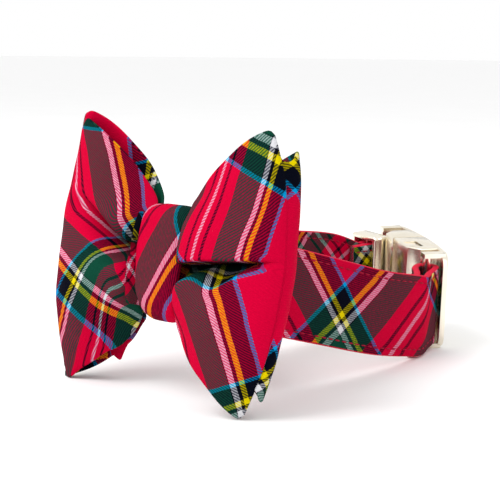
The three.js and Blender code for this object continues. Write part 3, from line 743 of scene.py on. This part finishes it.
def makeBow():
    half = bow["stations"] // 2
    u = np.linspace(0, 1, bow["stations"] + 1)
    v = rowsAcross(bow["rows"], bow["rowsAbout"])
    wings = [wing("Right", u[:half + 1], v), wing("Left", u[half:], v)]
    sheet = np.concatenate([points[:-1] for points, cloth, paintedDark in wings])
    ring, columns = thickened(toBow(sheet), bow["wall"])
    rings = laid(ring)
    height, flattened = rings[..., 2], bow["flattened"] * mm  # the lowest tips press flat on the floor
    rings[..., 2] = np.where(height < flattened, flattened * np.exp(height / flattened - 1), height)
    # each half keeps its own lie of the cloth, and they change over behind the knot
    around = columns + columns[:1]
    start = np.concatenate([cloth[:-1, around] for points, cloth, paintedDark in wings])
    end = np.concatenate([cloth[1:, around] for points, cloth, paintedDark in wings])
    piece = tubeMesh("bow_cloth", rings, [bowTartan], (start, end))
    # painted shade for the fold and the knot, kept on each point for the cloth's colour
    fold = np.concatenate([paintedDark[:-1] for points, cloth, paintedDark in wings])[:, columns]
    shadeLayer = piece.data.attributes.new("fold", "FLOAT", "POINT")
    shadeLayer.data.foreach_set("value", fold.ravel().astype(np.float32))
    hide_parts("bow_wings")
    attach(piece, "collar")
    # the cut is waisted at the knot
    return piece


bowCloth = makeBow()
print("bow made")


# the knot that wraps the bow's middle
knot = {
    "front": -3.5, "back": 8.4, "halfHeight": 15.6, "wall": 1.8, "corner": 4.5, "aside": 3.5,
    "widthTop": 17.0, "widthBottom": 15.2, "widthBack": 12.5, "innerShare": 0.94,
    "crown": 1.0, "pleat": 0.35, "turnedUnder": 0.9, "belly": 1.6, "drawnUp": 4.2,
    "rounds": 120, "columns": 27,
    "lies": (dict(through=12.85, slope=62.0, close=1.0), dict(through=33.35, slope=-63.0, close=1.0)),
}


def roundedLoop(y0, y1, z0, z1, corner, steps=16):
    # a rectangle with rounded corners, up the front and down the back
    spots = []
    for cy, cz, start in ((y0 + corner, z1 - corner, 180), (y1 - corner, z1 - corner, 90),
                          (y1 - corner, z0 + corner, 0), (y0 + corner, z0 + corner, -90)):
        for k in range(steps + 1):
            t = math.radians(start - 90 * k / steps)
            spots.append((0, cy + corner * math.cos(t), cz + corner * math.sin(t)))
    return np.array(spots, float)


def makeKnot():
    k = knot
    half = k["wall"] / 2
    loop = loopLine(roundedLoop(k["front"] + half, k["back"] - half, -k["halfHeight"] + half,
                                k["halfHeight"] - half, k["corner"]))
    total = loop[1][-1]
    start = 2 * (k["halfHeight"] - k["corner"])  # the two ends meet behind the bow
    s = (np.linspace(0, total, k["rounds"] + 1)[:-1] + total / 2 - start / 2) % total
    point = pointOn(loop, s)
    out = unit(np.cross(wayRound(loop, s, 0.3), [1.0, 0, 0]))
    if (out * (point - point.mean(0))).sum() < 0:
        out = -out
    point[:, 0] += k["aside"] * smooth((k["back"] - 4 - point[:, 1]) / 5)
    inFront = smooth((k["back"] - 3 - point[:, 1:2]) / 4)
    z = point[:, 2:]
    opened = (k["widthTop"] - k["widthBottom"]) * smooth((z / k["halfHeight"] + 1) / 2)
    width = ((k["widthBottom"] + opened) * inFront + k["widthBack"] * (1 - inFront)) / 2
    c = np.linspace(-1, 1, k["columns"])
    crown = k["crown"] * (1 - np.abs(c) ** 2.6) * inFront * smooth((-out[:, 1:2] - 0.1) / 0.8)
    # the two long edges are turned under, with a shallow pleat down the left of the front
    pleat = k["pleat"] * hump(c, -0.62, 0.16) * inFront * smooth((z + 4) / 10)
    lift = half + crown - k["turnedUnder"] * np.abs(c) ** 6 - pleat
    # its left edge bellies out and its lower left corner is drawn up
    onLeft = np.maximum(0, -c) * inFront
    belly = k["belly"] * onLeft * hump(z, 3, 9)
    drawnUp = k["drawnUp"] * onLeft ** 2 * smooth((-z - 7) / 6)

    def face(share, raised):
        return point[:, None] + np.stack([width * c * share - belly, 0 * belly, drawnUp], -1) + raised
    ring = bothFaces(face(1.0, out[:, None] * lift[..., None]), face(k["innerShare"], -out[:, None] * half))
    along = (np.linspace(0, total, k["rounds"] + 1) - total / 2)[:, None]
    wide = thereAndBack(c) * k["widthTop"] / 2
    uv = np.stack([threadAt(lie, wide, along) for lie in k["lies"]], -1)
    piece = tubeMesh("knot_cloth", laid(toBow(ring)), [bowTartan], (uv[:-1], uv[1:]))
    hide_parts("bow_knot")
    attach(piece, "collar")


makeKnot()
print("knot made")


# a plain strip of cloth along a line, used for the two keepers
strip = {"columns": 17, "seamAt": 0.80, "seamDip": 0.25, "thinEdge": 0.55, "slant": 0.7071}


def stripPiece(name, line, up, k, closed, node):
    total = line[1][-1]
    run = np.linspace(0, total, k["steps"] + 1)
    s = run[:-1] if closed else run
    point = pointOn(line, s)
    way = wayRound(line, s) if closed else wayOn(line, inside(line, s))
    upWays = across(np.broadcast_to(up, point.shape), way)
    out = unit(np.cross(way, upWays))[:, None]
    c = np.linspace(-1, 1, strip["columns"])
    sag = strip["seamDip"] * k["thick"] * hump(np.abs(c), strip["seamAt"], 0.07)
    body = (k["thick"] / 2 * (1 - strip["thinEdge"] * np.abs(c) ** 8))[:, None]
    middle = point[:, None] + upWays[:, None] * (c * k["width"] / 2)[:, None]
    ring = bothFaces(middle + out * (body - sag[:, None]), middle - out * body)
    wide, run = thereAndBack(c) * k["width"] / 2, run[:, None]
    uv = np.stack([(run - wide) * strip["slant"] + k["cloth"][0],
                   (run + wide) * strip["slant"] + k["cloth"][1]], -1)
    piece = tubeMesh(name, laid(ring), [bandTartan], (uv[:-1], uv[1:]), closed)
    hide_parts(node)
    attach(piece, "collar")


bowKeeper = {"width": 10, "thick": 1.1, "slack": 0.9, "slackUp": 0.4, "gap": 0.3, "corner": 1.0,
             "cloth": (4, 30), "steps": 140}


def makeBowKeeper():
    k = bowKeeper
    c, s = math.cos(leanBack), math.sin(leanBack)
    dy, dz = np.subtract(band["route"][band["underBow"]], bow["middle"])[1:]
    bandY, bandZ = dy * c - dz * s, dy * s + dz * c  # the band's middle, in the bow's own frame
    y = band["thick"] / 2 + k["gap"] + k["thick"] / 2
    z = band["width"] / 2 + k["gap"] + k["slackUp"] + k["thick"] / 2
    spots = roundedLoop(bandY - y, bandY + y + k["slack"], bandZ - z, bandZ + z, k["corner"], 8)
    stripPiece("bow_loop", loopLine(toBow(spots)), [1.0, 0, 0], k, True, "bow_keeper")


makeBowKeeper()

# the band itself
strap = {
    "bevel": 0.7, "columns": 41, "step": 0.9, "thinEdge": 0.30, "ease": 0.12,
    # the outer and the inner cloth are cut apart, so each has its own lie
    "outer": (dict(through=24.6, slope=133.5, close=-0.76), dict(through=68.4, slope=40.9, close=-0.92)),
    "inner": (dict(through=167.3, slope=50.8, close=-0.95),
              dict(through=-141.6, slope=142.0, close=0.98)),
    "stitchIn": 2.3, "stitchDip": 0.28, "stitchLength": 2.1, "stitchPitch": 2.9,
    "stitchRadius": 0.24, "stitchFromEnd": 2.0, "stitchStep": 0.8, "stitchRaised": 0.05,
    "piping": 0.55,
}


def makeBand():
    k = strap
    s = np.linspace(0, bandLength, int(bandLength / k["step"]))
    point, way, up, out = (row[:, None] for row in bandFrame(inside(bandLine, s)))
    halfWidth, halfThick = band["width"] / 2, band["thick"] / 2
    c = np.sin(np.linspace(-1, 1, k["columns"]) * math.pi / 2)  # closer together at the edges
    w = c * halfWidth
    fromEdge = halfWidth - np.abs(w)
    bevel = np.sqrt(1 - (1 - np.clip(fromEdge / k["bevel"], 0, 1)) ** 2)
    body = halfThick * (k["thinEdge"] + (1 - k["thinEdge"]) * bevel)
    body = body - k["stitchDip"] * hump(fromEdge, k["stitchIn"], 0.75)
    ease = k["ease"] / 2 * np.sin(s / 7.0)[:, None] * (1 - c ** 2)  # cloth never lies dead flat
    middle = point + up * w[:, None]
    ring = bothFaces(middle + out * (body + ease)[..., None], middle - out * (body - ease)[..., None])
    wide = thereAndBack(w)
    isInner = np.arange(len(wide)) // len(w) == 1
    uv = np.stack([np.where(isInner, threadAt(onInner, s[:, None], wide),
                            threadAt(onOuter, s[:, None], wide))
                   for onOuter, onInner in zip(k["outer"], k["inner"])], -1)
    # the faces along each edge take the red painted edge highlight
    onEdge = np.abs(wide) > halfWidth - k["piping"]
    kinds = (onEdge[:-1] & onEdge[1:]).astype(int)
    piece = tubeMesh("band_cloth", laid(ring), [bandTartan, redEdgeHighlight], (uv[:-1], uv[1:]), False,
                     kinds)
    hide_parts("collar_band")
    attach(piece, "collar")


makeBand()
print("band made")


# stitches: one small thread mesh set out along a line by geometry nodes
def stitchTree():
    tree = bpy.data.node_groups.new("sewn_row", "GeometryNodeTree")
    face = tree.interface
    face.new_socket("Geometry", in_out="INPUT", socket_type="NodeSocketGeometry")
    for name in ("Pitch", "Length", "Radius"):
        face.new_socket(name, in_out="INPUT", socket_type="NodeSocketFloat")
    face.new_socket("Thread", in_out="INPUT", socket_type="NodeSocketMaterial")
    face.new_socket("Geometry", in_out="OUTPUT", socket_type="NodeSocketGeometry")

    def add(kind, inputs, **settings):
        made = tree.nodes.new(kind)
        for key, value in settings.items():
            setattr(made, key, value)
        for key, value in inputs.items():
            if isinstance(value, bpy.types.NodeSocket):
                tree.links.new(value, made.inputs[key])
            else:
                made.inputs[key].default_value = value
        return made.outputs
    given = add("NodeGroupInput", {})
    spots = add("GeometryNodeCurveToPoints", {"Curve": given["Geometry"], "Length": given["Pitch"]},
                mode="LENGTH")
    bead = add("GeometryNodeMeshUVSphere", {"Segments": 8, "Rings": 6, "Radius": 1.0})
    half = add("ShaderNodeMath", {0: given["Length"], 1: 0.5}, operation="MULTIPLY")
    size = add("ShaderNodeCombineXYZ", {0: given["Radius"], 1: given["Radius"], 2: half[0]})
    shaped = add("GeometryNodeTransform", {"Geometry": bead["Mesh"], "Scale": size[0]})
    put = add("GeometryNodeInstanceOnPoints",
              {"Points": spots["Points"], "Instance": shaped["Geometry"],
               "Rotation": spots["Rotation"]})
    real = add("GeometryNodeRealizeInstances", {"Geometry": put["Instances"]})
    smoothed = add("GeometryNodeSetShadeSmooth", {"Geometry": real["Geometry"]})
    dyed = add("GeometryNodeSetMaterial",
               {"Geometry": smoothed["Geometry"], "Material": given["Thread"]})
    add("NodeGroupOutput", {"Geometry": dyed["Geometry"]})
    return tree


sewnRow = stitchTree()


def sewn(name, lines, material, pitch, length, radius):
    # lines are lists of points in the collar's own millimetres
    curve = bpy.data.curves.new(name + "_line", "CURVE")
    curve.dimensions = "3D"
    for line in lines:
        spline = curve.splines.new("POLY")
        spline.points.add(len(line) - 1)
        spline.points.foreach_set("co", np.hstack([laid(line), np.ones((len(line), 1))]).ravel())
    holder = placed(name + "_line", curve)
    sewing = holder.modifiers.new("sewn", "NODES")
    sewing.node_group = sewnRow
    values = {"Pitch": pitch * mm, "Length": length * mm, "Radius": radius * mm, "Thread": material}
    for item in sewnRow.interface.items_tree:
        if item.item_type == "SOCKET" and item.in_out == "INPUT" and item.name in values:
            sewing[item.identifier] = values[item.name]
    done = holder.evaluated_get(bpy.context.evaluated_depsgraph_get())
    mesh = bpy.data.meshes.new_from_object(done)
    mesh.name = name
    bpy.data.objects.remove(holder)
    piece = placed(name, mesh)
    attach(piece, "collar")


def bandStitchLines():
    k = strap
    s = np.arange(k["stitchFromEnd"], bandLength - k["stitchFromEnd"], k["stitchStep"])
    point, way, up, out = bandFrame(s)
    w = band["width"] / 2 - k["stitchIn"]
    lift = band["thick"] / 2 - k["stitchDip"] + k["stitchRaised"]
    return [point + side * w * up + face * lift * out for side in (-1, 1) for face in (-1, 1)]


sewn("band_stitches", bandStitchLines(), stitchThread, strap["stitchPitch"],
     strap["stitchLength"], strap["stitchRadius"])
print("stitches made")

# the lead ring and the strip that holds it
leadRing = {"wire": 1.3, "halfWidth": 10.9, "depth": 19, "bend": 3.6, "fromBar": 37, "sides": 18,
            "steps": 150}
ringJoint = frame["joints"][0]


def bezier(a, b, c, d, count):
    t = np.linspace(0, 1, count, endpoint=False)[:, None]
    a, b, c, d = (np.array(p, float) for p in (a, b, c, d))
    return (1 - t)**3 * a + 3 * (1 - t)**2 * t * b + 3 * (1 - t) * t**2 * c + t**3 * d


def makeLeadRing():
    k = leadRing
    w, d, b = k["halfWidth"], k["depth"], k["bend"]
    # how far from the straight bar, and how far along it
    line = loopLine(np.vstack([
        bezier((0, -w + b), (0, -w / 2), (0, w / 2), (0, w - b), 12),
        bezier((0, w - b), (0, w - b / 3), (b / 3, w), (b, w), 12),
        bezier((b, w), (d * 0.82, w), (d, w * 0.62), (d, 0), 30),
        bezier((d, 0), (d, -w * 0.62), (d * 0.82, -w), (b, -w), 30),
        bezier((b, -w), (b / 3, -w), (0, -w + b / 3), (0, -w + b), 12)]))
    s = np.linspace(0, line[1][-1], k["steps"] + 1)[:-1]
    way = wayRound(line, s)
    bar, axis = np.array(ringJoint["pos_m"], float), np.array(ringJoint["axis"], float)
    low, high = (np.array(corner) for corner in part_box("d_ring"))
    away = across((low + high) / 2 - bar, axis)
    lift = np.cross(axis, away)
    sideways = np.stack([way[:, 1], -way[:, 0]], -1)
    t = (np.arange(k["sides"]) / k["sides"] * 2 * math.pi)[:, None]
    flat = pointOn(line, s)[:, None] + k["wire"] * np.cos(t) * sideways[:, None]
    rings = bar + (flat[..., :1] * away + flat[..., 1:] * axis + k["wire"] * np.sin(t) * lift) * mm
    piece = tubeMesh("lead_ring_wire", rings, [goldMetal])
    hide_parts("d_ring")
    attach(piece, "lead_ring")


makeLeadRing()

ringKeeper = {"width": 13.0, "thick": 1.0, "tab": 4.0, "gap": 0.3, "cloth": (12, 36), "steps": 80}


def makeRingKeeper():
    k = ringKeeper
    distance = bandLength - band["tail"] - band["tailToBar"] - leadRing["fromBar"]
    point, way, up, out = (row[0] for row in bandFrame(distance))
    way = -way
    out = unit(np.cross(way, up))
    seat = band["thick"] / 2 + k["gap"] + leadRing["wire"]
    low = band["thick"] / 2 + 1.5 * k["gap"] + k["thick"] / 2
    overBar = leadRing["wire"] + 1.5 * k["gap"] + k["thick"] / 2
    spots = [(-overBar - k["tab"], low), (-overBar - 1.2, low), (-overBar, low + 0.8)]
    for degrees in (160, 125, 90, 55, 20):
        t = math.radians(degrees)
        spots.append((overBar * math.cos(t), seat + overBar * math.sin(t)))
    spots += [(overBar, low + 0.8), (overBar + 1.2, low), (overBar + k["tab"], low)]
    line = rounded([point + a * way + o * out for a, o in spots])
    stripPiece("ring_tab", line, up, k, False, "d_ring_keeper")


makeRingKeeper()
print("ring made")


# the metal pieces: the frame's own shapes, with every sharp edge rounded over
metal = {
    "edges": {"buckle_socket": 0.35, "buckle_prong": 0.35, "strap_slide": 0.3},  # mm
    "segments": 3, "flatUnder": 1.0, "sharpOver": 35,  # degrees
}


def softened(node, edge):
    mesh = cadNodes[node].data.copy()
    work = bmesh.new()
    work.from_mesh(mesh)
    bmesh.ops.remove_doubles(work, verts=work.verts, dist=1e-6)
    bmesh.ops.dissolve_limit(work, angle_limit=math.radians(metal["flatUnder"]), verts=work.verts,
                             edges=work.edges)
    work.to_mesh(mesh)
    work.free()
    mesh.materials.clear()
    mesh.materials.append(goldMetal)
    mesh.polygons.foreach_set("use_smooth", [True] * len(mesh.polygons))
    piece = placed(node + "_metal", mesh)
    rounding = piece.modifiers.new("edges", "BEVEL")
    rounding.width = edge * mm
    rounding.segments = metal["segments"]
    rounding.limit_method = "ANGLE"
    rounding.angle_limit = math.radians(metal["sharpOver"])
    rounding.harden_normals = True
    done = piece.evaluated_get(bpy.context.evaluated_depsgraph_get())
    baked = bpy.data.meshes.new_from_object(done)
    piece.modifiers.clear()
    piece.data = baked
    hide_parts(node)
    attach(piece, "collar")


for node, edge in metal["edges"].items():
    softened(node, edge)
print("metal made")

# the room: a pale floor and soft light
room = {"floor": 60.0, "sky": 1.0, "key": 9.0, "keySize": 0.7, "keySpot": (-0.25, -0.75, 0.85),
        "fill": 1.5, "fillSize": 0.9, "fillSpot": (0.9, -0.3, 0.45), "aim": (0, 0, 0.04)}


def paleFloor():
    f = Finish("pale_floor")
    spot = f.place()
    tone = f.grey(0.93 + f.noise(spot, 9.0, 2.0) * 0.03)
    return f.finishWith({"Base Color": tone, "Roughness": 0.9, "Specular IOR Level": 0.1})


far = room["floor"] / 2
floor = meshFrom("floor", [(-far, -far, 0), (far, -far, 0), (far, far, 0), (-far, far, 0)],
                 [(0, 1, 2, 3)], [paleFloor()], smoothFaces=False)

world = bpy.data.worlds.new("studio")
scene.world = world
world.use_nodes = True
sky = world.node_tree.nodes["Background"]
sky.inputs["Color"].default_value = (1, 1, 1, 1)
sky.inputs["Strength"].default_value = room["sky"]


def softLight(name, spot, width, power):
    lamp = bpy.data.lights.new(name, "AREA")
    lamp.size = width
    lamp.energy = power
    light = placed(name, lamp)
    light.location = spot
    aim = Vector(room["aim"]) - Vector(spot)
    light.rotation_euler = aim.to_track_quat("-Z", "Y").to_euler()


softLight("key", room["keySpot"], room["keySize"], room["key"])
softLight("fill", room["fillSpot"], room["fillSize"], room["fill"])
scene.view_settings.view_transform = "Standard"
scene.view_settings.look = "None"
print("room made")
